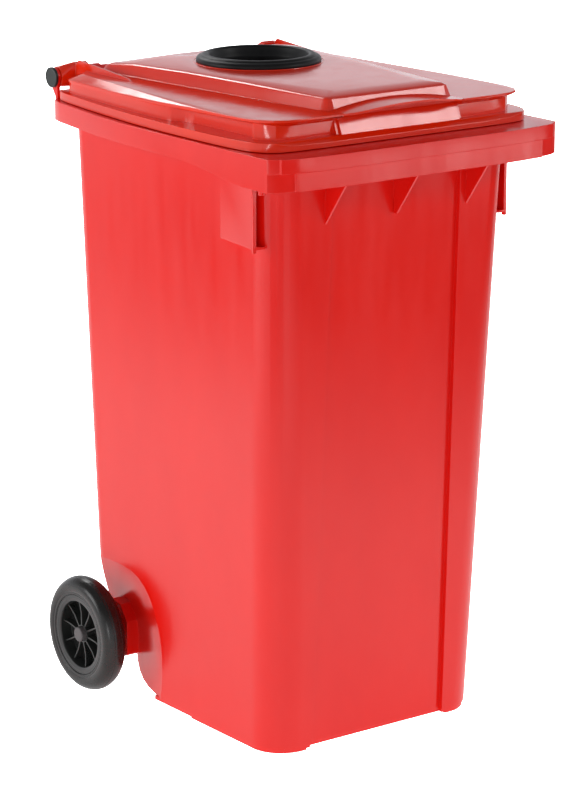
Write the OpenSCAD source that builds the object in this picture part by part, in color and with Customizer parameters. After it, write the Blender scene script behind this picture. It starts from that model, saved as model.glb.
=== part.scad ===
// Two-wheeled refuse bin, 240 litre class, with a bottle aperture in the lid.
// Units are millimetres. +Z is up, the lifting lip faces -Y, the wheels and the
// handle are at +Y. The origin is on the ground, under the middle of the part.

/* [Display] */
// Sub-part to draw

/* [Overall size] */
// Width over the lifting lip and over the wheels
bin_width = 580; // [560:1:600]
// Depth from the lifting lip to the back of the handle
bin_depth = 735; // [715:1:750]
// Height of the flat top of the body rim
rim_height = 1011; // [990:1:1030]

/* [Body shell] */
// Wall thickness of the moulded shell
wall = 3.2; // [2.8:0.1:6]
// Outside width of the shell at the ground
base_width = 432; // [400:1:450]
// Outside width of the shell 900 mm above the ground
top_width = 483; // [460:1:500]
// Front wall position at the ground, measured back from the middle
front_base = 252.6; // [240:0.1:265]
// Front wall position 900 mm up
front_top = 292.9; // [280:0.1:300]
// Rear wall position at the ground
rear_base = 268; // [255:0.5:280]
// Rear wall position 900 mm up
rear_top = 284; // [270:0.5:295]
// Corner radius of the front edges
front_radius = 60; // [30:1:90]
// Corner radius of the rear edges
rear_radius = 40; // [20:1:60]
// Depth of the sunk centre panel in the front wall
panel_depth = 8; // [4:0.5:12]
// Half width of the sunk panel at the ground
panel_half_base = 137; // [120:1:150]
// Half width of the sunk panel 900 mm up
panel_half_top = 128; // [110:1:140]

/* [Rim and lifting lip] */
// Thickness of the rim plate and its skirt
rim_wall = 3.4; // [3:0.1:6]
// Height of the front lifting lip
lip_height = 52; // [45:1:60]
// Height of the skirt along the rear half of the sides
skirt_height = 33; // [25:1:40]
// Height of the lower band, set back a little in the lip face
band_height = 29; // [20:1:34]
// Half distance between the outer stiffening gussets
gusset_pitch = 142; // [120:1:160]

/* [Hinge and handle] */
// Distance of the hinge axis behind the middle
hinge_y = 336; // [330:0.5:340]
// Height of the hinge axis
hinge_z = 1046.5; // [1040:0.5:1052]
// Diameter of the hinge pin shank
pin_diameter = 16; // [12:0.5:20]
// Diameter of the hinge pin head
pin_head = 34.5; // [28:0.5:36]
// Radial clearance between the pin and the lid arm
pin_clearance = 0.08; // [0.03:0.01:0.1]
// Radius of the handle bar
handle_radius = 14; // [11:0.5:16]

/* [Lid] */
// Thickness of the lid moulding
lid_wall = 3.2; // [2.8:0.1:5]
// Gap between the lid flange and the body rim
lid_gap = 1; // [0.5:0.5:2]
// Height of the top sheet above the ground
sheet_top = 1060; // [1055:1:1065]
// Height of the flat seat round the aperture
seat_top = 1084.5; // [1078:0.5:1090]

/* [Bottle aperture] */
// Centre of the aperture behind the middle
ring_y = 80; // [60:1:100]
// Largest diameter of the collar
ring_outer = 209; // [190:1:220]
// Diameter of the collar crest
ring_crest = 184; // [170:1:195]
// Clear diameter of the throat
ring_throat = 154; // [140:1:165]
// Height of the crest above its seat
ring_rise = 13; // [10:0.5:20]
// Radius of the screw circle
screw_circle = 95; // [92:0.5:98]

/* [Wheels] */
// Wheel diameter over the tyre
wheel_diameter = 200; // [190:1:210]
// Width of the tyre
tyre_width = 44; // [38:1:50]
// Diameter of the rim under the tyre
rim_diameter = 140; // [130:1:150]
// Number of thin spokes in each wheel
spoke_count = 10; // [6:1:14]
// Distance of the axle behind the middle
axle_y = 218.5; // [210:0.5:226]
// Diameter of the steel axle
axle_diameter = 20; // [18:0.5:25]
// Radial clearance between the wheel hub and the axle
axle_clearance = 0.08; // [0.03:0.01:0.1]

/* [Hidden] */
$fn = 96;
half_w = bin_width / 2;
half_d = bin_depth / 2;
axle_z = wheel_diameter / 2;
lip_z = rim_height - lip_height;
skirt_z = rim_height - skirt_height;
foot = 9;
gusset_tip = 886;
fin_foot = 853;
bead_foot = 847;
foot_width = 16;
front_foot_half = 146;
grip_half = 119;
grip_r = 660;
grip_top = sheet_top + 11;
sheet_corner = 190;
sheet_rear = 299;
bore_fit = 0.1;
// X positions of the hinge parts on the right side, from the inside out
lug_in = 150;
lug_out = 179.5;
arm_in = 183;
crest_in = 204.5;
arm_out = 208.5;
knuckle_in = 228;
knuckle_out = 234;
cheek_in = 235;
cheek_out = 241;
bar_half = 165;
axle_half = 281;
washer_in = 215;
screw_d = 5;
screw_clear = 5.6;
red = [0.84, 0.13, 0.10];
black = [0.07, 0.07, 0.07];
steel = [0.62, 0.63, 0.65];

// shell size at a height
function half_at(z) = base_width / 2 + (top_width - base_width) / 2 * z / 900;
function front_at(z) = -(front_base + (front_top - front_base) * z / 900);
function rear_at(z) = rear_base + (rear_top - rear_base) * z / 900;
front_slope = atan((front_top - front_base) / 900);

// points of an arc in the order of its angles
function arc(cx, cy, r, a0, a1, n) =
    [for (i = [0 : n]) [cx + r * cos(a0 + (a1 - a0) * i / n),
                        cy + r * sin(a0 + (a1 - a0) * i / n)]];
// half outline to full outline, mirrored in X
function full(p) = concat(p, [for (i = [len(p) - 1 : -1 : 0])
    len(p[i]) == 3 ? [-p[i][0], p[i][1], p[i][2]] : [-p[i][0], p[i][1]]]);

// plan of the shell at a height, walls moved in by d
function shell_plan(z, d) = full(concat(
    arc(half_at(z) - front_radius, front_at(z) + front_radius, front_radius - d, -90, 0, 18),
    arc(half_at(z) - rear_radius, rear_at(z) - rear_radius, rear_radius - d, 0, 90, 14)));

// plan of the rim behind the lip, with an ear behind each rear corner
rim_sides = [[half_w, -half_d + 33], [half_w, -20], [half_w - 3.5, 70], [half_w - 10, 150],
    [half_w - 23, 238], [half_w - 31, 290], [half_w - 38, 316], [half_w - 47, 328],
    [half_w - 60, 331], [216, 331], [213, 326], [212, 312], [205, 308]];
// plan of the upper band of the lip, bowed at the front
rim_plan = full(concat([[100, -half_d], [160, -half_d + 1], [200, -half_d + 2.7],
    [240, -half_d + 7], [260, -half_d + 11], [272, -half_d + 14.6], [273, -half_d + 18.2],
    [half_w - 5, -half_d + 25.5], [half_w - 1, -half_d + 29]], rim_sides));
// plan of the lower band of the lip
lip_plan = full(concat([[100, -half_d + 3.2], [160, -half_d + 4.2], [200, -half_d + 5.9],
    [235, -half_d + 9], [247, -half_d + 10.8], [248, -half_d + 14], [273, -half_d + 20],
    [half_w - 6, -half_d + 26], [half_w - 1, -half_d + 29]], rim_sides));

// plan of the lid flange, with an ear behind each rear corner
flange_plan = full([[160, -313.5], [215, -312], [240, -308], [257, -298], [268, -283],
    [275, -262], [280, -220], [282, -150], [282, -40], [278, 50], [270, 140], [260, 225],
    [253, 275], [248, 300], [243, 314], [237, 322], [217, 322], [213, 312], [205, 303]]);

// plan of the lid wall, with a hand recess along the front half of each side
wall_plan = full([[203, -288], [230, -282], [245, -270], [253, -255], [253, -251],
    [243, -249], [241, -239], [242, -80], [248, -60], [258, -40], [262, -30], [262, 40],
    [256, 130], [249, 212], [245, 255], [241, 284], [235, 297], [222, 303], [198, 301]]);

// edge of the top sheet, drooping toward the rear corners
sheet_edge = full([[112, -290, 1060], [121, -306, 1060], [190, -308, 1060], [222, -304, 1060],
    [243, -292, 1060], [257, -272, 1059.5], [264, -245, 1059], [267, -200, 1058.5],
    [268, -110, 1058], [267, -65, 1055.5], [266, -20, 1053], [264, 40, 1051.5],
    [258, 130, 1050.5], [251, 212, 1049.5], [247, 255, 1049], [243, 285, 1048.5],
    [236, 299, 1048], [222, 304, 1047.5], [192, 299, 1047.5]]);
// flat of the top sheet inside that edge
sheet_flat = full([[108, -284], [120, -294], [188, -297], [217, -293], [234, -283],
    [245, -266], [251, -242], [253, -200], [254, -110], [253, -65], [251, -20], [248, 36],
    [243, 124], [238, 200], [234, 238], [228, 262], [220, 275], [208, 282], [188, 280]]);

// crest of the raised centre panel, lower at the rear
panel_edge = full([[112, -268, 1077.5], [119, -266, 1077.5], [124, -258, 1077.5],
    [140, -100, 1079], [156, 60, 1079.5], [172, 200, 1077], [179, 258, 1072],
    [176, 273, 1069], [166, 279, 1067.5]]);

// flat top of that panel, ending just behind the aperture
panel_crown = full([[82, -238], [89, -236], [94, -228], [110, -100], [124, 40], [122, 140],
    [110, 195], [92, 217], [66, 226]]);

// move an outline of [x, y] or [x, y, z] in by d and to a height h or up by h
function inset(p, d) = [for (i = [0 : len(p) - 1])
    let (a = p[(i + len(p) - 1) % len(p)], b = p[(i + 1) % len(p)],
         t = [b[0] - a[0], b[1] - a[1]] / norm([b[0] - a[0], b[1] - a[1]]))
    [p[i][0] - t[1] * d, p[i][1] + t[0] * d, p[i][2]]];
function level(p, z) = [for (q = p) [q[0], q[1], z]];
function raise(p, h) = [for (q = p) [q[0], q[1], q[2] + h]];

// solid through a stack of closed outlines with equal point counts, lowest first;
// the first and the last one are flat
module loft(rings) {
    n = len(rings[0]);
    m = len(rings);
    polyhedron(
        points = [for (r = rings) for (q = r) q],
        faces = concat(
            [[for (i = [0 : n - 1]) i]],
            [[for (i = [n - 1 : -1 : 0]) (m - 1) * n + i]],
            [for (k = [0 : m - 2]) for (i = [0 : n - 1])
                [k * n + i, (k + 1) * n + i, k * n + (i + 1) % n]],
            [for (k = [0 : m - 2]) for (i = [0 : n - 1])
                [k * n + (i + 1) % n, (k + 1) * n + i, (k + 1) * n + (i + 1) % n]]));
}

module slab(plan, z, t, d = 0)
    translate([0, 0, z]) linear_extrude(t) offset(delta = -d) polygon(plan);

// extrude a side-view outline, given as [y, z], between two X positions
module side_view(x0, x1)
    translate([x0, 0, 0]) rotate([90, 0, 90]) linear_extrude(x1 - x0) children();

module both_sides() {
    children();
    mirror([1, 0, 0]) children();
}

// ---------------------------------------------------------------- body

module shell_solid(z0, z1, d)
    hull() {
        translate([0, 0, z0]) linear_extrude(0.01) polygon(shell_plan(z0, d));
        translate([0, 0, z1 - 0.01]) linear_extrude(0.01) polygon(shell_plan(z1, d));
    }

// side-view outline of the wheel bay where it breaks the side wall
bay_mouth = [[390, -40], [88, -40], [79, -12], [72, 14], [66.5, 40], [64, 66], [64, 92],
    [67, 118], [73, 142], [82, 164], [94, 184], [109, 200.5], [127, 213], [148, 220.5],
    [172, 223.5], [390, 223.5]];

// wheel bay cut in each lower rear corner, grown by g
module wheel_bay(g)
    hull() {
        side_view(half_at(0) - 1, half_w - 40) offset(delta = g) polygon(bay_mouth);
        side_view(188 - g, 188.1 - g)
            polygon(concat(arc(252, 75, 65 + g, 180, 0, 28), [[390, -40], [187 - g, -40]]));
    }

// step under the rear of the floor that the axle crosses, grown by g
module rear_step(g)
    side_view(-260, 260) offset(delta = g) polygon(concat(
        [[400, -40], [110, -40], [110, 9], [132, 10], [155, 16], [172, 27], [182, 44],
         [187, 66]], arc(219, 100, 32, 180, 90, 10), [[400, 132]]));

// sunk panel of the front wall, grown by g
module front_recess(g)
    translate([0, -front_base, 0]) rotate([front_slope, 0, 0])
        translate([0, panel_depth + g, -30]) rotate([90, 0, 0]) linear_extrude(60)
            polygon([[-panel_half_base - g, 0], [panel_half_base + g, 0],
                     [panel_half_top + g, 984 + g], [-panel_half_top - g, 984 + g]]);

module body_outer()
    difference() {
        shell_solid(foot, rim_height - 1, 0);
        both_sides() wheel_bay(0);
        rear_step(0);
        front_recess(0);
    }

module body_cavity()
    difference() {
        shell_solid(foot + wall, rim_height + 6, wall);
        both_sides() wheel_bay(wall);
        rear_step(wall);
        front_recess(wall);
    }

// rim plate and skirt, with the skirt deepening toward the lifting lip
module rim()
    difference() {
        union() {
            slab(lip_plan, lip_z, lip_height);
            slab(rim_plan, lip_z + band_height, lip_height - band_height);
        }
        translate([0, 0, -rim_wall]) slab(lip_plan, lip_z - 1, lip_height + 1, rim_wall);
        side_view(-half_w - 1, half_w + 1) polygon([[400, lip_z - 2], [400, skirt_z],
            [-60, skirt_z], [-110, skirt_z - 1], [-150, skirt_z - 4], [-200, skirt_z - 10],
            [-245, skirt_z - 17], [-275, lip_z], [-275, lip_z - 2]]);
    }

module gusset(x)
    side_view(x - 2, x + 2)
        polygon([[front_at(gusset_tip) + 6, gusset_tip], [front_at(gusset_tip) - 1, gusset_tip],
                 [-half_d + 19.5, lip_z], [-half_d + 16, lip_z + 4],
                 [-half_d + 8, rim_height - 2], [front_at(900) + 10, rim_height - 2]]);

// plates at the front corners that guide the lifting comb, with a bead down the edge
module guide_fin() {
    translate([0, 0, fin_foot]) linear_extrude(rim_height - fin_foot - 2)
        polygon([[256, -258], [251, -258], [238, -150], [243, -150]]);
    translate([0, 0, fin_foot]) linear_extrude(4)
        polygon([[256, -258], [238, -262], [225, -250], [230, -150], [243, -150]]);
    translate([0, 0, bead_foot]) linear_extrude(lip_z - bead_foot + 2)
        polygon([[257, -258], [251, -258], [251, -252], [256, -252]]);
    translate([0, -255, 0]) rotate([90, 0, 0]) linear_extrude(3)
        polygon([[252, lip_z - 23], [257, lip_z - 23], [260, lip_z - 9], [268, lip_z + 1],
                 [252, lip_z + 1]]);
    translate([278, -310, lip_z - 8]) cylinder(h = lip_height + 6, d = 11);
}

// feet under the edge of the floor, stepped along the sides and under the front panel
module foot_ring()
    difference() {
        slab(shell_plan(foot, 0), 0, foot + 1, 3);
        translate([0, 0, -1]) linear_extrude(foot + 3)
            offset(delta = -foot_width) polygon(shell_plan(foot, 0));
        // nothing under the wheel step, and shorter feet at the sides and in front
        translate([-half_w, 94, -1]) cube([bin_width, half_d, foot + 3]);
        translate([-half_w, -14, -1]) cube([bin_width, half_d, 4]);
        translate([-front_foot_half, -300, -1]) cube([2 * front_foot_half, 100, 4]);
        front_recess(2);
    }

// ribs under the floor between the feet
module floor_ribs()
    for (x = [-120, -40, 40, 120])
        translate([x - 2, -230, 4]) cube([4, 280, foot]);

// bracket on each side that carries the axle
module axle_bracket()
    difference() {
        side_view(160, 214) polygon([[176, 60], [182, 56], [252, 56], [262, 66],
            [262, 118], [246, 138], [222, 150], [196, 146], [176, 120]]);
        side_view(164, 210) polygon([[187, 52], [248, 52], [256, 64], [256, 84],
            [187, 84]]);
    }

module axle_tunnel()
    side_view(150, 214) translate([axle_y, axle_z]) circle(d = axle_diameter + 14);

// upright on each side: outer cheek and inner lug that hold the hinge pin
module handle_upright() {
    side_view(cheek_in, cheek_out) {
        translate([hinge_y, hinge_z]) circle(r = 15);
        polygon([[324.5, rim_height - 5], [331, rim_height - 3], [331, rim_height + 3],
                 [hinge_y + 14, hinge_z - 6], [hinge_y - 14, hinge_z + 4],
                 [324.5, rim_height + 18]]);
    }
    side_view(lug_in, lug_out) {
        translate([hinge_y, hinge_z]) circle(r = 16);
        polygon([[305, rim_height - 3], [305.5, skirt_z], [312, skirt_z],
                 [352, 1027], [hinge_y + 26, hinge_z - 10], [hinge_y + 13, hinge_z + 9],
                 [hinge_y - 13, hinge_z + 9]]);
    }
}

module handle_bar()
    translate([-bar_half, half_d - handle_radius, hinge_z - 4.5]) rotate([0, 90, 0])
        cylinder(h = 2 * bar_half, r = handle_radius);

module body()
    color(red) difference() {
        union() {
            body_outer();
            rim();
            for (x = [-gusset_pitch, 0, gusset_pitch]) gusset(x);
            both_sides() {
                guide_fin();
                axle_bracket();
                axle_tunnel();
                handle_upright();
            }
            handle_bar();
            foot_ring();
            floor_ribs();
        }
        body_cavity();
        translate([-260, axle_y, axle_z]) rotate([0, 90, 0])
            cylinder(h = 520, d = axle_diameter + bore_fit);
        both_sides() translate([lug_in + 8, hinge_y, hinge_z]) rotate([0, 90, 0])
            cylinder(h = 100, d = pin_diameter + bore_fit);
    }

// ---------------------------------------------------------------- lid

// top sheet with its drooping edge
module lid_sheet()
    difference() {
        hull() loft([level(inset(sheet_flat, 8), sheet_top - 12), raise(sheet_edge, -4),
                     sheet_edge, level(sheet_flat, sheet_top)]);
        translate([-grip_half, -320, sheet_top - 30]) cube([2 * grip_half, 29.6, 40]);
        // straight rear edge that swings clear of the handle
        translate([-sheet_corner, sheet_rear, sheet_top - 30])
            cube([2 * sheet_corner, 20, 40]);
    }

module lid_panel(d)
    hull() loft([level(inset(panel_edge, d - 9), sheet_top - 5 - d),
                 raise(inset(panel_edge, d), -d), raise(inset(panel_edge, d + 7), 3 - d),
                 level(inset(panel_crown, d), seat_top - 0.6 - d)]);

module lid_shell() {
    difference() {
        slab(flange_plan, rim_height + lid_gap, 14.5);
        side_view(-half_w, half_w) polygon([[-330, rim_height + 8], [-313.5, rim_height + 9],
            [-305, rim_height + 15.5], [-305, rim_height + 20], [-330, rim_height + 20]]);
    }
    difference() {
        slab(wall_plan, rim_height + 9, sheet_top - 15 - rim_height);
        // top of the wall, following the drooping edge of the sheet
        side_view(-half_w, half_w) polygon([[-60, sheet_top], [-60, sheet_top - 5.9],
            [-20, sheet_top - 8.5], [40, sheet_top - 10.2], [130, sheet_top - 11.4],
            [255, sheet_top - 13], [320, sheet_top - 14], [320, sheet_top]]);
    }
    side_view(-grip_half, grip_half) polygon([[-304, rim_height + 11],
        [-291, sheet_top - 7], [-280, sheet_top - 7], [-280, rim_height + 11]]);
    side_view(-grip_half - 6, grip_half + 6) polygon([[-299, rim_height + 11.5],
        [-287.5, sheet_top - 7.5], [-281, sheet_top - 7.5], [-281, rim_height + 11.5]]);
    lid_sheet();
    lid_panel(0);
    translate([0, ring_y, sheet_top + 6]) cylinder(h = seat_top - sheet_top - 6, r = 108);
}

// arched grip in the middle of the front edge, closed by a web behind it
module front_grip() {
    intersection() {
        translate([0, -240, grip_top - grip_r]) rotate([90, 0, 0]) difference() {
            cylinder(h = 100, r = grip_r, $fn = 360);
            translate([0, 0, -1]) cylinder(h = 102, r = grip_r - 3.6, $fn = 360);
        }
        translate([0, 0, sheet_top - 6]) linear_extrude(40)
            polygon(full([[56, -329], [84, -327], [104, -321], [118, -311], [125, -298],
                          [125, -262]]));
    }
    intersection() {
        translate([0, -240, grip_top - grip_r]) rotate([90, 0, 0])
            cylinder(h = 100, r = grip_r - 1, $fn = 360);
        translate([-grip_half, -290.5, sheet_top - 12]) cube([2 * grip_half, 5, 40]);
    }
}

// arm on each side: a knuckle on the hinge pin and a thin crest that runs on to the sheet
module lid_arm() {
    hull() {
        side_view(knuckle_in, knuckle_out) translate([hinge_y, hinge_z]) circle(r = 17.2);
        side_view(arm_in, arm_out) {
            translate([hinge_y, hinge_z]) circle(r = 16);
            polygon([[hinge_y - 18, hinge_z - 14], [hinge_y - 14, hinge_z - 16],
                     [hinge_y - 12, hinge_z + 24.3], [hinge_y - 20, hinge_z + 21.5]]);
        }
    }
    side_view(arm_in, arm_out) polygon([[284, sheet_top - 24], [284, sheet_top - 4],
        [316, hinge_z + 16], [320, hinge_z + 16], [320, hinge_z - 15], [304, hinge_z - 20]]);
    side_view(crest_in, arm_out) polygon([[150, sheet_top - 4], [150, sheet_top],
        [162, sheet_top + 3.6], [222, sheet_top + 9], [309, sheet_top + 15.3],
        [314, sheet_top + 8.5], [320, sheet_top + 8.5], [323, sheet_top + 10.3],
        [323, hinge_z - 14], [284, sheet_top - 24], [264, sheet_top - 9]]);
}

module lid_hollow() {
    slab(flange_plan, rim_height - 1, 9, lid_wall + 0.4);
    slab(wall_plan, rim_height - 0.5, 34, lid_wall);
    slab(wall_plan, rim_height, sheet_top - 9.5 - rim_height, lid_wall + 8);
    slab(sheet_flat, sheet_top - 20, 14.6, 14);
    lid_panel(lid_wall);
    translate([0, ring_y, sheet_top]) cylinder(h = seat_top - sheet_top - lid_wall, r = 107);
}

module lid()
    color(red) difference() {
        union() {
            difference() {
                lid_shell();
                lid_hollow();
            }
            front_grip();
            both_sides() lid_arm();
        }
        translate([0, ring_y, sheet_top - 10]) cylinder(h = 60, r = ring_throat / 2 + 9);
        for (a = [30 : 60 : 330])
            translate([screw_circle * cos(a), ring_y + screw_circle * sin(a), sheet_top])
                cylinder(h = 60, d = screw_clear, $fn = 24);
        both_sides() {
            translate([170, hinge_y, hinge_z]) rotate([0, 90, 0])
                cylinder(h = 80, d = pin_diameter + 2 * pin_clearance);
            side_view(arm_in + 5, crest_in)
                polygon([[280, 1030], [hinge_y - 18, hinge_z - 24], [hinge_y - 18, 1060],
                         [300, 1055], [286, 1048]]);
        }
    }

// ---------------------------------------------------------------- bottle aperture

module aperture_collar()
    color(black) translate([0, ring_y, seat_top + 0.1]) difference() {
        rotate_extrude() polygon(concat(
            [[ring_throat / 2 + 8, -22], [ring_throat / 2 + 8, 0], [ring_outer / 2 - 2, 0]],
            arc(ring_outer / 2 - 5, 5, 5, -50, 40, 6),
            arc(ring_crest / 2 + 1, ring_rise - 6, 6, 30, 160, 10),
            [[ring_throat / 2 + 5, 6], [ring_throat / 2 + 2, 1], [ring_throat / 2, -6],
             [ring_throat / 2, -22]]));
        for (a = [30 : 60 : 330])
            translate([screw_circle * cos(a), screw_circle * sin(a), -1])
                cylinder(h = 8, d = screw_d + bore_fit, $fn = 24);
    }

module collar_retainer()
    color(black) translate([0, ring_y, seat_top - lid_wall - 4.2]) difference() {
        cylinder(h = 4, r = 105);
        translate([0, 0, -1]) cylinder(h = 6, r = ring_throat / 2 + 8.5);
        for (a = [30 : 60 : 330])
            translate([screw_circle * cos(a), screw_circle * sin(a), -1])
                cylinder(h = 6, d = screw_clear, $fn = 24);
    }

module collar_screw(i)
    color(steel) translate([screw_circle * cos(60 * i - 30),
                            ring_y + screw_circle * sin(60 * i - 30),
                            seat_top - lid_wall - 4.3]) {
        cylinder(h = 14, d = screw_d, $fn = 24);
        translate([0, 0, -3]) cylinder(h = 3, d1 = 7, d2 = 9.5, $fn = 24);
    }

module collar_screw_1() collar_screw(1);
module collar_screw_2() collar_screw(2);
module collar_screw_3() collar_screw(3);
module collar_screw_4() collar_screw(4);
module collar_screw_5() collar_screw(5);
module collar_screw_6() collar_screw(6);

// ---------------------------------------------------------------- hinge pins

module hinge_pin()
    color(black) translate([0, hinge_y, hinge_z]) rotate([0, 90, 0]) {
        translate([0, 0, lug_in + 9]) cylinder(h = 83, d = pin_diameter);
        translate([0, 0, cheek_out + 0.2]) cylinder(h = 3.9, d = pin_head);
        translate([0, 0, cheek_out + 4]) cylinder(h = 1.8, d1 = pin_head, d2 = pin_head - 5);
    }

module hinge_pin_right() hinge_pin();
module hinge_pin_left() mirror([1, 0, 0]) hinge_pin();

// ---------------------------------------------------------------- running gear

module axle()
    color(steel) translate([-axle_half, axle_y, axle_z]) rotate([0, 90, 0])
        cylinder(h = 2 * axle_half, d = axle_diameter);

tyre_in = half_w - tyre_width;
rim_r = rim_diameter / 2;

module on_axle(x)
    translate([x, axle_y, axle_z]) rotate([0, 90, 0]) children();

module wheel_rim()
    color(black) difference() {
        union() {
            on_axle(tyre_in + 3) difference() {
                cylinder(h = tyre_width - 6, r = rim_r - 0.1);
                translate([0, 0, -1]) cylinder(h = tyre_width, r = rim_r - 12.5);
            }
            on_axle(tyre_in + 12) cylinder(h = 5, r = rim_r - 10);
            on_axle(tyre_in - 26) cylinder(h = tyre_width + 14.5, r = 15.6);
            for (i = [0 : spoke_count - 1])
                on_axle(tyre_in + 5) rotate([0, 0, 360 / spoke_count * i + 9])
                    translate([13, -1.4, 0]) cube([rim_r - 22, 2.8, tyre_width - 16]);
        }
        on_axle(tyre_in - 27) cylinder(h = 80, d = axle_diameter + 2 * axle_clearance);
        on_axle(tyre_in + 30) cylinder(h = 30, r = 13.4);
    }

module tyre()
    color(black) on_axle(tyre_in) rotate_extrude() polygon(concat(
        [[rim_r, 3], [rim_r + 3, 2.5], [rim_r + 12, 1]],
        arc(axle_z - 14, 14, 14, -75, 0, 8),
        [[axle_z, 15], [axle_z, tyre_width - 15]],
        arc(axle_z - 14, tyre_width - 14, 14, 0, 75, 8),
        [[rim_r + 12, tyre_width - 1], [rim_r + 3, tyre_width - 2.5],
         [rim_r, tyre_width - 3]]));

module hub_cap()
    color(black) difference() {
        union() {
            on_axle(tyre_in + 30.2) cylinder(h = 9, r = 13.1);
            on_axle(tyre_in + 39.1) cylinder(h = 2.4, r1 = 13.1, r2 = 11.6);
        }
        on_axle(tyre_in + 29) cylinder(h = 9, r = 11.9);
    }

module axle_washer()
    color(steel) difference() {
        on_axle(washer_in) cylinder(h = 3, r = 16);
        on_axle(washer_in - 1) cylinder(h = 5, d = axle_diameter + 2 * bore_fit);
    }

module push_nut()
    color(steel) difference() {
        on_axle(tyre_in + 30.3) cylinder(h = 1.2, r = 11.5);
        on_axle(tyre_in + 29) cylinder(h = 4, d = axle_diameter + bore_fit);
    }

module wheel_rim_right() wheel_rim();
module tyre_right() tyre();
module hub_cap_right() hub_cap();
module axle_washer_right() axle_washer();
module push_nut_right() push_nut();
module wheel_rim_left() mirror([1, 0, 0]) wheel_rim();
module tyre_left() mirror([1, 0, 0]) tyre();
module hub_cap_left() mirror([1, 0, 0]) hub_cap();
module axle_washer_left() mirror([1, 0, 0]) axle_washer();
module push_nut_left() mirror([1, 0, 0]) push_nut();

// ---------------------------------------------------------------- assembly

body();
lid();
aperture_collar();
collar_retainer();
collar_screw_1();
collar_screw_2();
collar_screw_3();
collar_screw_4();
collar_screw_5();
collar_screw_6();
hinge_pin_left();
hinge_pin_right();
axle();
wheel_rim_left();
tyre_left();
hub_cap_left();
axle_washer_left();
push_nut_left();
wheel_rim_right();
tyre_right();
hub_cap_right();
axle_washer_right();
push_nut_right();
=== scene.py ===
import math
import bmesh
import bpy
from mathutils import Matrix, Vector


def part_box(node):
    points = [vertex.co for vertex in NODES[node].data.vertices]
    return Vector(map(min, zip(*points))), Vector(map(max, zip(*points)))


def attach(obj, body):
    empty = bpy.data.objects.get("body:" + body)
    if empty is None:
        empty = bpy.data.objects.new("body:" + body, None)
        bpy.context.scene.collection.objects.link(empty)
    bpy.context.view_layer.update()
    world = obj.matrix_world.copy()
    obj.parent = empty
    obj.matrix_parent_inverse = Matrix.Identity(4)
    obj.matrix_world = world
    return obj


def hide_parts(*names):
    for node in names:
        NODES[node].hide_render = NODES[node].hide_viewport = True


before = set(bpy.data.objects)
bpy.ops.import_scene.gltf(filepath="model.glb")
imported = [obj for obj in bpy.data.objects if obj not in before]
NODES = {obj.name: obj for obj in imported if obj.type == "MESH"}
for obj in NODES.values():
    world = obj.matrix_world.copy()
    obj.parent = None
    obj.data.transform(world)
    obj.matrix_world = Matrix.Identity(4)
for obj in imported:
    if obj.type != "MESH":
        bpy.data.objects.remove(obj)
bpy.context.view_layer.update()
MM = 0.001

# ------------------------------------------------------------------ materials


def new_material(name):
    mat = bpy.data.materials.new(name)
    mat.use_nodes = True
    tree = mat.node_tree
    return mat, tree, tree.nodes["Principled BSDF"]


def noise(tree, scale, detail=3.0, rough=0.55, stretch=None):
    """Noise in the object's own metres, optionally stretched along an axis."""
    coord = tree.nodes.new("ShaderNodeTexCoord")
    mapping = tree.nodes.new("ShaderNodeMapping")
    if stretch:
        mapping.inputs["Scale"].default_value = stretch
    tex = tree.nodes.new("ShaderNodeTexNoise")
    tex.inputs["Scale"].default_value = scale
    tex.inputs["Detail"].default_value = detail
    tex.inputs["Roughness"].default_value = rough
    tree.links.new(coord.outputs["Object"], mapping.inputs["Vector"])
    tree.links.new(mapping.outputs["Vector"], tex.inputs["Vector"])
    return tex.outputs["Fac"]


def remap(tree, value, low, high, out_low, out_high):
    node = tree.nodes.new("ShaderNodeMapRange")
    node.inputs["From Min"].default_value = low
    node.inputs["From Max"].default_value = high
    node.inputs["To Min"].default_value = out_low
    node.inputs["To Max"].default_value = out_high
    tree.links.new(value, node.inputs["Value"])
    return node.outputs["Result"]


def mix_colour(tree, factor, a, b):
    node = tree.nodes.new("ShaderNodeMix")
    node.data_type = "RGBA"
    for key, value in ((6, a), (7, b)):
        if isinstance(value, tuple):
            node.inputs[key].default_value = (*value, 1)
        else:
            tree.links.new(value, node.inputs[key])
    tree.links.new(factor, node.inputs[0])
    return node.outputs[2]


def add_bump(tree, shader, layers):
    """Stack bump layers, each a height and a distance in metres."""
    last = None
    for height, distance, strength in layers:
        node = tree.nodes.new("ShaderNodeBump")
        node.inputs["Distance"].default_value = distance
        node.inputs["Strength"].default_value = strength
        tree.links.new(height, node.inputs["Height"])
        if last:
            tree.links.new(last, node.inputs["Normal"])
        last = node.outputs["Normal"]
    tree.links.new(last, shader.inputs["Normal"])


def edge_highlight_mask(tree, radius):
    """1 on convex edges, where a pale painted highlight goes; 0 on flat faces."""
    geometry = tree.nodes.new("ShaderNodeNewGeometry")
    bevel = tree.nodes.new("ShaderNodeBevel")
    bevel.samples = 4
    bevel.inputs["Radius"].default_value = radius
    dot = tree.nodes.new("ShaderNodeVectorMath")
    dot.operation = "DOT_PRODUCT"
    tree.links.new(bevel.outputs["Normal"], dot.inputs[0])
    tree.links.new(geometry.outputs["Normal"], dot.inputs[1])
    return remap(tree, dot.outputs["Value"], 0.995, 0.93, 0.0, 1.0)


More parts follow.
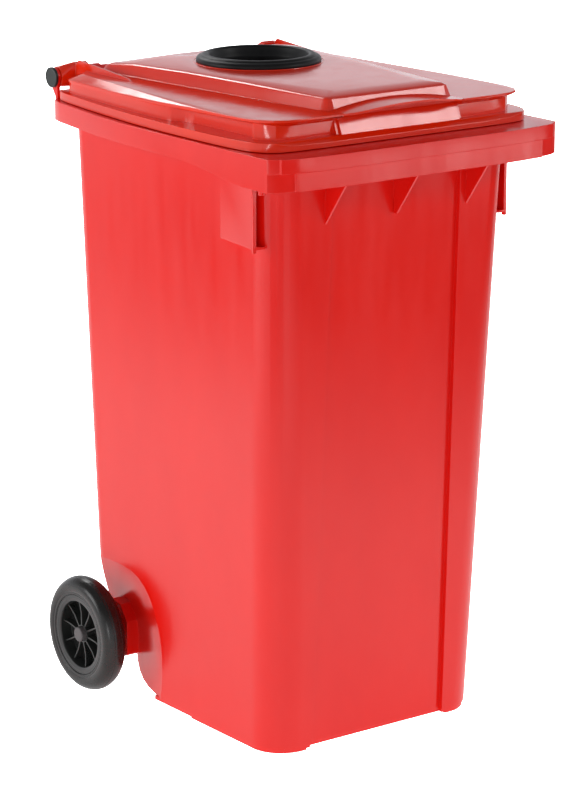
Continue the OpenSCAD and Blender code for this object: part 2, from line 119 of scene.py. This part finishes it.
def moulded_red(name, base, pale, rough):
    """Glossy injection-moulded polyethylene: flow clouds, a faint orange peel, and a pale
    painted highlight along the convex edges.
    """
    mat, tree, shader = new_material(name)
    clouds = noise(tree, 5.0, 4.0, 0.6, (1.0, 1.0, 0.5))
    flow = noise(tree, 38.0, 2.0, 0.5, (1.0, 1.0, 0.12))
    colour = mix_colour(tree, remap(tree, clouds, 0.3, 0.7, 0.0, 1.0), base, pale)
    # convex edges are mixed toward a paler red: a painted highlight
    highlight_edges = edge_highlight_mask(tree, 1.4 * MM)
    edge_highlight_colour = tuple(min(1.0, c * 1.08 + 0.015) for c in pale)
    colour = mix_colour(tree, remap(tree, highlight_edges, 0.0, 1.0, 0.0, 0.35), colour, edge_highlight_colour)
    tree.links.new(colour, shader.inputs["Base Color"])
    tree.links.new(remap(tree, flow, 0.3, 0.7, rough - 0.03, rough + 0.05),
                   shader.inputs["Roughness"])
    peel = noise(tree, 900.0, 2.0)
    swell = noise(tree, 9.0, 2.0, 0.4)
    add_bump(tree, shader, [(swell, 1.1 * MM, 0.3), (peel, 0.03 * MM, 0.3)])
    shader.inputs["IOR"].default_value = 1.52
    return mat


def dark_polymer(name, base, grey, rough, ior=1.5):
    """Rubber or black plastic with a dusty, slightly mottled surface."""
    mat, tree, shader = new_material(name)
    dust = noise(tree, 26.0, 5.0, 0.65)
    colour = mix_colour(tree, remap(tree, dust, 0.35, 0.75, 0.0, 1.0), base, grey)
    # convex edges are mixed toward a paler grey: a painted highlight
    highlight_edges = edge_highlight_mask(tree, 0.9 * MM)
    edge_highlight_colour = tuple(c * 1.7 + 0.01 for c in grey)
    colour = mix_colour(tree, remap(tree, highlight_edges, 0.0, 1.0, 0.0, 0.5), colour, edge_highlight_colour)
    tree.links.new(colour, shader.inputs["Base Color"])
    tree.links.new(remap(tree, dust, 0.3, 0.7, rough - 0.05, rough + 0.08),
                   shader.inputs["Roughness"])
    add_bump(tree, shader, [(noise(tree, 1400.0, 3.0), 0.05 * MM, 0.5)])
    shader.inputs["IOR"].default_value = ior
    return mat


def turned_steel(name, rough):
    """Zinc-plated steel with fine turning marks and faint tarnish."""
    mat, tree, shader = new_material(name)
    tarnish = noise(tree, 60.0, 4.0, 0.6)
    colour = mix_colour(tree, remap(tree, tarnish, 0.3, 0.75, 0.0, 1.0),
                        (0.58, 0.59, 0.6), (0.42, 0.41, 0.38))
    tree.links.new(colour, shader.inputs["Base Color"])
    marks = noise(tree, 700.0, 2.0, 0.5, (6.0, 0.3, 0.3))
    tree.links.new(remap(tree, marks, 0.3, 0.7, rough - 0.06, rough + 0.12),
                   shader.inputs["Roughness"])
    add_bump(tree, shader, [(marks, 0.02 * MM, 0.4)])
    shader.inputs["Metallic"].default_value = 1.0
    return mat


RED_BODY = moulded_red("red_body", (0.75, 0.005, 0.002), (0.81, 0.009, 0.004), 0.2)
RED_LID = moulded_red("red_lid", (0.78, 0.020, 0.002), (0.84, 0.030, 0.004), 0.15)
COLLAR_BLACK = dark_polymer("collar_rubber", (0.003, 0.003, 0.003), (0.009, 0.009, 0.009),
                            0.42, 1.3)
TYRE_BLACK = dark_polymer("tyre_rubber", (0.006, 0.006, 0.005), (0.016, 0.015, 0.013),
                          0.26, 1.46)
RIM_BLACK = dark_polymer("rim_plastic", (0.012, 0.013, 0.012), (0.026, 0.027, 0.025), 0.3)
CAP_GREY = dark_polymer("cap_plastic", (0.07, 0.062, 0.062), (0.10, 0.09, 0.09), 0.45)
PIN_BLACK = dark_polymer("pin_plastic", (0.006, 0.010, 0.008), (0.014, 0.02, 0.018), 0.4)
STEEL = turned_steel("plated_steel", 0.3)

# ------------------------------------------------------------------ mesh helpers


def curve_points(points, steps=5):
    """Catmull-Rom points through a list; a point given with True stays a sharp corner."""
    out = []
    n = len(points)
    for i in range(n - 1):
        p1, p2 = Vector(points[i][:2]), Vector(points[i + 1][:2])
        p0 = Vector(points[i - 1][:2]) if i and len(points[i]) == 2 else p1
        p3 = Vector(points[i + 2][:2]) if i + 2 < n and len(points[i + 1]) == 2 else p2
        straight = len(points[i]) > 2 and len(points[i + 1]) > 2
        for k in range(1 if straight else steps):
            t = k / steps
            q = 0.5 * ((2 * p1) + (p2 - p0) * t + (2 * p0 - 5 * p1 + 4 * p2 - p3) * t * t
                       + (3 * p1 - p0 - 3 * p2 + p3) * t * t * t)
            out.append(q if k else p1.copy())
    out.append(Vector(points[-1][:2]))
    return out


def finish_mesh(name, bm, material, body, replaced):
    """Turn a bmesh into a smooth shaded piece that rides on a body and replaces CAD nodes."""
    bmesh.ops.recalc_face_normals(bm, faces=bm.faces)
    mesh = bpy.data.meshes.new(name)
    bm.to_mesh(mesh)
    bm.free()
    mesh.polygons.foreach_set("use_smooth", [True] * len(mesh.polygons))
    obj = bpy.data.objects.new(name, mesh)
    bpy.context.scene.collection.objects.link(obj)
    obj.data.materials.append(material)
    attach(obj, body)
    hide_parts(*replaced)
    return obj


def lathe_into(bm, profile, place, segments=96, closed=True):
    """Revolve [radius, height] points in mm about the local Z of a placing matrix."""
    rings = []
    for r, h in profile:
        if r < 1e-6:
            rings.append([bm.verts.new(place @ Vector((0, 0, h * MM)))])
            continue
        rings.append([bm.verts.new(place @ Vector((r * MM * math.cos(2 * math.pi * k / segments),
                                                   r * MM * math.sin(2 * math.pi * k / segments),
                                                   h * MM))) for k in range(segments)])
    pairs = list(zip(rings, rings[1:]))
    if closed:
        pairs.append((rings[-1], rings[0]))
    for a, b in pairs:
        if len(a) == 1 and len(b) == 1:
            continue
        for k in range(segments):
            m = (k + 1) % segments
            if len(a) == 1:
                bm.faces.new((a[0], b[m], b[k]))
            elif len(b) == 1:
                bm.faces.new((a[k], a[m], b[0]))
            else:
                bm.faces.new((a[k], a[m], b[m], b[k]))


def along_x(x, y, z, side=1):
    """Placing matrix whose local Z points along +X, or along -X for the left side."""
    spin = Matrix.Rotation(math.radians(90 * side), 4, "Y")
    return Matrix.Translation(Vector((x * MM, y * MM, z * MM))) @ spin


def rounded(points, radius, steps=4):
    """Round every corner of a closed [r, h] outline, leaving points on the axis alone."""
    out = []
    n = len(points)
    for i, p in enumerate(points):
        p = Vector(p)
        a, b = Vector(points[i - 1]) - p, Vector(points[(i + 1) % n]) - p
        if p.x < 1e-6 or a.length < 1e-6 or b.length < 1e-6:
            out.append(p)
            continue
        d = min(radius, a.length * 0.45, b.length * 0.45)
        start, end = p + a.normalized() * d, p + b.normalized() * d
        for k in range(steps + 1):
            t = k / steps
            out.append(start * (1 - t) ** 2 + p * 2 * t * (1 - t) + end * t * t)
    return out


# ------------------------------------------------------------------ carried-over mouldings

WELD, EDGE_ROUND, RIM_ROUND = 0.02, 0.8, 0.5
BEVEL_ANGLE, RIM_BEVEL_ANGLE, SPLIT_ANGLE = 24, 50, 38


def round_edges(obj, width, angle):
    """Round every edge sharper than an angle in degrees; width in mm."""
    bevel = obj.modifiers.new("round", "BEVEL")
    bevel.width = width * MM
    bevel.segments = 2
    bevel.limit_method = "ANGLE"
    bevel.angle_limit = math.radians(angle)
    return bevel


def carry(node, material):
    """Show a CAD moulding with its edges rounded as a mould leaves them."""
    obj = NODES[node]
    obj.data.materials.clear()
    obj.data.materials.append(material)
    obj.data.polygons.foreach_set("use_smooth", [True] * len(obj.data.polygons))
    if "custom_normal" in obj.data.attributes:
        obj.data.attributes.remove(obj.data.attributes["custom_normal"])
    weld = obj.modifiers.new("weld", "WELD")
    weld.merge_threshold = WELD * MM
    bevel = round_edges(obj, EDGE_ROUND, BEVEL_ANGLE)
    bevel.use_clamp_overlap = False
    split = obj.modifiers.new("split", "EDGE_SPLIT")
    split.split_angle = math.radians(SPLIT_ANGLE)
    weighted = obj.modifiers.new("shade", "WEIGHTED_NORMAL")
    weighted.weight = 80
    weighted.mode = "FACE_AREA"


carry("body", RED_BODY)
carry("lid", RED_LID)

# ------------------------------------------------------------------ bottle aperture

RING_Y, SEAT = 80.0, 1084.6
upright = Matrix.Translation(Vector((0, RING_Y * MM, SEAT * MM)))
# section of the collar: flat foot, outer roll, crest, then the sleeve down the throat
collar_profile = curve_points([
    (104.2, 0.0, True), (104.4, 2.2), (104.0, 4.6), (102.4, 7.2), (99.4, 9.0), (96.8, 9.6),
    (95.6, 10.6), (93.0, 12.3), (89.4, 13.0), (85.6, 12.6), (83.2, 10.6), (82.0, 7.4),
    (80.4, 3.4), (78.2, -1.5), (77.1, -6.0), (77.0, -21.0), (77.6, -22.0, True),
    (84.4, -22.0, True), (85.0, -21.4, True), (85.0, 0.0, True)], 4)
bm = bmesh.new()
lathe_into(bm, collar_profile, upright, 160)
finish_mesh("collar", bm, COLLAR_BLACK, "lid_assembly", ["aperture_collar"])

low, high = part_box("collar_retainer")
bm = bmesh.new()
retainer_base = Matrix.Translation(Vector((0, RING_Y * MM, low.z)))
lathe_into(bm, rounded([(85.5, 0), (105, 0), (105, 4), (85.5, 4)], 0.8), retainer_base, 96)
finish_mesh("retainer", bm, RIM_BLACK, "lid_assembly", ["collar_retainer"])

# head with a small socket below, shank above
screw_profile = [(0, 0.9), (1.0, 0.9), (1.3, 0.3), (3.3, 0.0), (4.4, 1.2), (4.75, 2.4),
                 (4.6, 3.0), (2.5, 3.2), (2.5, 16.2), (1.9, 17.0), (0, 17.0)]
for i in range(1, 7):
    node = "collar_screw_%d" % i
    low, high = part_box(node)
    centre = (low + high) / 2
    bm = bmesh.new()
    place = Matrix.Translation(Vector((centre.x, centre.y, low.z)))
    lathe_into(bm, screw_profile, place, 32, closed=False)
    finish_mesh("screw_%d" % i, bm, STEEL, "lid_assembly", [node])

# ------------------------------------------------------------------ hinge pins

HINGE_Y, HINGE_Z = 336.0, 1046.5
# shank from 159 mm out, then a head with a shallow dish
pin_profile = rounded([(0, 159), (8, 159), (8, 241.3), (17.25, 241.3), (17.25, 246.0),
                       (15.2, 246.7), (14.4, 245.9), (0, 246.1)], 0.9, 5)
for side, word in ((1, "right"), (-1, "left")):
    bm = bmesh.new()
    lathe_into(bm, pin_profile, along_x(0, HINGE_Y, HINGE_Z, side), 96, closed=False)
    finish_mesh("pin_" + word, bm, PIN_BLACK, "bin", ["hinge_pin_" + word])

# ------------------------------------------------------------------ running gear

AXLE_Y, AXLE_Z = 218.5, 100.0
TYRE_IN, TYRE_WIDTH, WASHER_IN = 246.0, 44.0, 215
SPOKES, FIRST_SPOKE = 10, 9

bm = bmesh.new()
lathe_into(bm, [(0, -281), (8.8, -281), (10, -279.8), (10, 279.8), (8.8, 281), (0, 281)],
           along_x(0, AXLE_Y, AXLE_Z), 64, closed=False)
finish_mesh("axle_bar", bm, STEEL, "bin", ["axle"])

# section of one half of the tyre: bead, side wall, shoulder groove, tread
half_tyre = [(70.0, 3.2, True), (71.5, 2.0), (75.0, 1.9), (77.0, 1.0), (83.0, 0.5),
             (89.0, 2.0), (94.0, 6.0), (97.3, 11.0), (98.7, 14.6), (98.5, 15.3, True),
             (99.1, 15.7, True), (99.8, 18.0), (100.0, 22.0)]
tyre_profile = curve_points(half_tyre + [(r, TYRE_WIDTH - h, *flag) for r, h, *flag
                                         in reversed(half_tyre[:-1])], 4)
rim_profile = rounded([(69.9, 3.4), (69.9, 40.4), (68.4, 41.2), (66.4, 40.6), (64.6, 40.8),
                       (58.6, 39.4), (57.6, 37.0), (57.6, 17.2), (15.5, 17.2), (15.5, 12.2),
                       (57.6, 12.2), (57.6, 3.4)], 0.8)
hub_profile = rounded([(10.1, -26), (15.6, -26), (15.6, 32.5), (13.4, 32.5), (13.4, 30.2),
                       (10.1, 30.2)], 0.6)
cap_profile = rounded([(0, 41.3), (11.4, 41.5), (13.0, 39.8), (13.0, 30.3), (11.9, 30.3),
                       (11.9, 38.0), (0, 38.0)], 0.8)
washer_profile = rounded([(10.1, 0), (16, 0), (16, 3), (10.1, 3)], 0.5)
nut_profile = rounded([(10.05, 30.3), (11.5, 30.3), (11.5, 31.5), (10.05, 31.5)], 0.3)
# side of a spoke, dipping between hub and rim; the blade thins toward the rim
spoke_outline = [(15.0, 5.4), (58.2, 5.4), (58.2, 33.2), (52.0, 31.6), (38.0, 30.2),
                 (24.0, 31.2), (15.0, 31.9)]


def spoke_into(bm, place):
    sides = []
    for s in (-1, 1):
        sides.append([bm.verts.new(place @ Vector((r * MM, s * (1.55 - 0.008 * (r - 17)) * MM,
                                                   h * MM))) for r, h in spoke_outline])
    bm.faces.new(sides[0])
    bm.faces.new(list(reversed(sides[1])))
    for i in range(len(spoke_outline)):
        j = (i + 1) % len(spoke_outline)
        bm.faces.new((sides[0][i], sides[1][i], sides[1][j], sides[0][j]))


for side, word in ((1, "right"), (-1, "left")):
    body = word + "_wheel"
    wheel = along_x(side * TYRE_IN, AXLE_Y, AXLE_Z, side)
    bm = bmesh.new()
    lathe_into(bm, tyre_profile, wheel, 144)
    finish_mesh("tyre_" + word + "_v", bm, TYRE_BLACK, body, ["tyre_" + word])

    bm = bmesh.new()
    lathe_into(bm, rim_profile, wheel, 144)
    lathe_into(bm, hub_profile, wheel, 72)
    for k in range(SPOKES):
        turn = math.radians(360 / SPOKES * k + FIRST_SPOKE)
        spoke_into(bm, wheel @ Matrix.Rotation(turn, 4, "Z"))
    rim = finish_mesh("rim_" + word, bm, RIM_BLACK, body, ["wheel_rim_" + word])
    round_edges(rim, RIM_ROUND, RIM_BEVEL_ANGLE)
    shade = rim.modifiers.new("shade", "WEIGHTED_NORMAL")
    shade.keep_sharp = True

    bm = bmesh.new()
    lathe_into(bm, cap_profile, wheel, 72, closed=False)
    finish_mesh("cap_" + word, bm, CAP_GREY, body, ["hub_cap_" + word])

    bm = bmesh.new()
    lathe_into(bm, washer_profile, along_x(side * WASHER_IN, AXLE_Y, AXLE_Z, side), 72)
    finish_mesh("washer_" + word, bm, STEEL, "bin", ["axle_washer_" + word])

    bm = bmesh.new()
    lathe_into(bm, nut_profile, wheel, 72)
    finish_mesh("nut_" + word, bm, STEEL, "bin", ["push_nut_" + word])

# ------------------------------------------------------------------ stage


def area_light(name, location, target, size, power):
    data = bpy.data.lights.new(name, "AREA")
    data.shape = "RECTANGLE"
    data.size, data.size_y = size
    data.energy = power
    obj = bpy.data.objects.new(name, data)
    bpy.context.scene.collection.objects.link(obj)
    obj.location = location
    obj.rotation_mode = "QUATERNION"
    obj.rotation_quaternion = (Vector(target) - Vector(location)).to_track_quat("-Z", "Y")
    obj.visible_camera = False


FLOOR_HALF = 30.0
FLOOR_Z, SHADE_SHEET_Z = -0.001, -0.0005


def floor_sheet(name, z, material):
    bm = bmesh.new()
    bm.faces.new([bm.verts.new((x * FLOOR_HALF, y * FLOOR_HALF, z))
                  for x, y in ((-1, -1), (1, -1), (1, 1), (-1, 1))])
    mesh = bpy.data.meshes.new(name)
    bm.to_mesh(mesh)
    bm.free()
    obj = bpy.data.objects.new(name, mesh)
    bpy.context.scene.collection.objects.link(obj)
    obj.data.materials.append(material)
    return obj


def lit_paper(tree, shader, tone, glow):
    """Matt paper of a tone, lit a little from inside to even out the floor."""
    tree.links.new(tone, shader.inputs["Base Color"])
    tree.links.new(tone, shader.inputs["Emission Color"])
    shader.inputs["Emission Strength"].default_value = glow
    shader.inputs["Roughness"].default_value = 0.7


PAPER = (0.93, 0.93, 0.93)

# a sheet of painted shade on the floor, hidden from the camera and casting no shadow, seen only
# in reflections
# and bounced light: the tone falls off toward the front right, with painted shadow spots at the
# rear left and the front left
painted_shade_mat, tree, shader = new_material("studio_painted_shade")
coord = tree.nodes.new("ShaderNodeTexCoord")
reach = tree.nodes.new("ShaderNodeVectorMath")
reach.operation = "DOT_PRODUCT"
reach.inputs[1].default_value = (0.6, -0.8, 0.0)
tree.links.new(coord.outputs["Object"], reach.inputs[0])
fall = remap(tree, reach.outputs["Value"], 1.2, 2.6, 0.0, 1.0)
tone = mix_colour(tree, fall, PAPER, (0.07, 0.06, 0.045))
for centre, turn, spread in (((-2.4, 2.7, 0), 120, (1.9, 0.75, 1)),
                             ((-2.6, -2.0, 0), 0, (1.7, 1.7, 1))):
    place = tree.nodes.new("ShaderNodeMapping")
    place.vector_type = "TEXTURE"
    place.inputs["Location"].default_value = centre
    place.inputs["Rotation"].default_value = (0, 0, math.radians(turn))
    place.inputs["Scale"].default_value = spread
    painted_shadow_spot = tree.nodes.new("ShaderNodeTexGradient")
    painted_shadow_spot.gradient_type = "SPHERICAL"
    tree.links.new(coord.outputs["Object"], place.inputs["Vector"])
    tree.links.new(place.outputs["Vector"], painted_shadow_spot.inputs["Vector"])
    tone = mix_colour(tree, remap(tree, painted_shadow_spot.outputs["Fac"], 0.0, 0.6, 0.0, 1.0), tone,
                      (0.1, 0.1, 0.1))
mottle = remap(tree, noise(tree, 1.5, 3.0), 0.3, 0.7, 0.0, 0.02)
tone = mix_colour(tree, mottle, tone, (0.8, 0.8, 0.8))
# the painted shade sheet glows with its own tone
lit_paper(tree, shader, tone, glow=0.66)
shade_sheet = floor_sheet("shade_sheet", SHADE_SHEET_Z, painted_shade_mat)
shade_sheet.visible_camera = False
shade_sheet.visible_shadow = False
shade_sheet.visible_transmission = False

# plain pale floor
floor_mat, tree, shader = new_material("studio_floor")
mottle = remap(tree, noise(tree, 1.5, 3.0), 0.3, 0.7, 0.0, 1.0)
tone = mix_colour(tree, mottle, PAPER, (0.927, 0.927, 0.927))
lit_paper(tree, shader, tone, glow=0.85)
floor_sheet("floor", FLOOR_Z, floor_mat)

# sky of white cloth, brighter near the horizon
world = bpy.data.worlds.new("studio")
bpy.context.scene.world = world
world.use_nodes = True
tree = world.node_tree
sky = tree.nodes["Background"]
sky.inputs["Color"].default_value = (0.94, 0.95, 1.0, 1)
coord = tree.nodes.new("ShaderNodeTexCoord")
height = tree.nodes.new("ShaderNodeSeparateXYZ")
tree.links.new(coord.outputs["Generated"], height.inputs["Vector"])
tree.links.new(remap(tree, height.outputs["Z"], 0.1, 0.6, 1.15, 0.25), sky.inputs["Strength"])

# each light: place, what it faces, width and height, watts
LIGHTS = {
    "strip": ((-3.3, -2.6, 0.75), (0, 0, 0.75), (0.4, 1.2), 13),
    "side_box": ((-3.4, 1.6, 1.7), (0, 0, 0.6), (1.8, 1.8), 38),
    "lip_box": ((2.0, -2.75, 0.38), (0, -0.35, 0.98), (2.8, 0.2), 7),
    "grip_box": ((2.3, -2.75, 2.65), (0, -0.3, 1.05), (1.0, 0.6), 18),
    "back_box": ((0.5, 3.1, 3.3), (0, 0, 1.05), (1.2, 0.9), 32),
}
for name, values in LIGHTS.items():
    area_light(name, *values)

# ------------------------------------------------------------------ camera

AZIMUTH, PITCH = -36.61, 14.75
DISTANCE = 5.4766
AIM = Vector((-0.0013, -0.0200, 0.5225))
LENS = 146.67

cam = bpy.data.objects.new("camera", bpy.data.cameras.new("camera"))
bpy.context.scene.collection.objects.link(cam)
a, e = math.radians(AZIMUTH), math.radians(PITCH)
back = Vector((math.sin(a) * math.cos(e), -math.cos(a) * math.cos(e), math.sin(e)))
cam.location = AIM + back * DISTANCE
cam.rotation_mode = "QUATERNION"
cam.rotation_quaternion = (-back).to_track_quat("-Z", "Y")
cam.data.sensor_width = 36
cam.data.lens = LENS
bpy.context.scene.camera = cam
bpy.context.scene.view_settings.view_transform = "Standard"
bpy.context.scene.view_settings.look = "None"
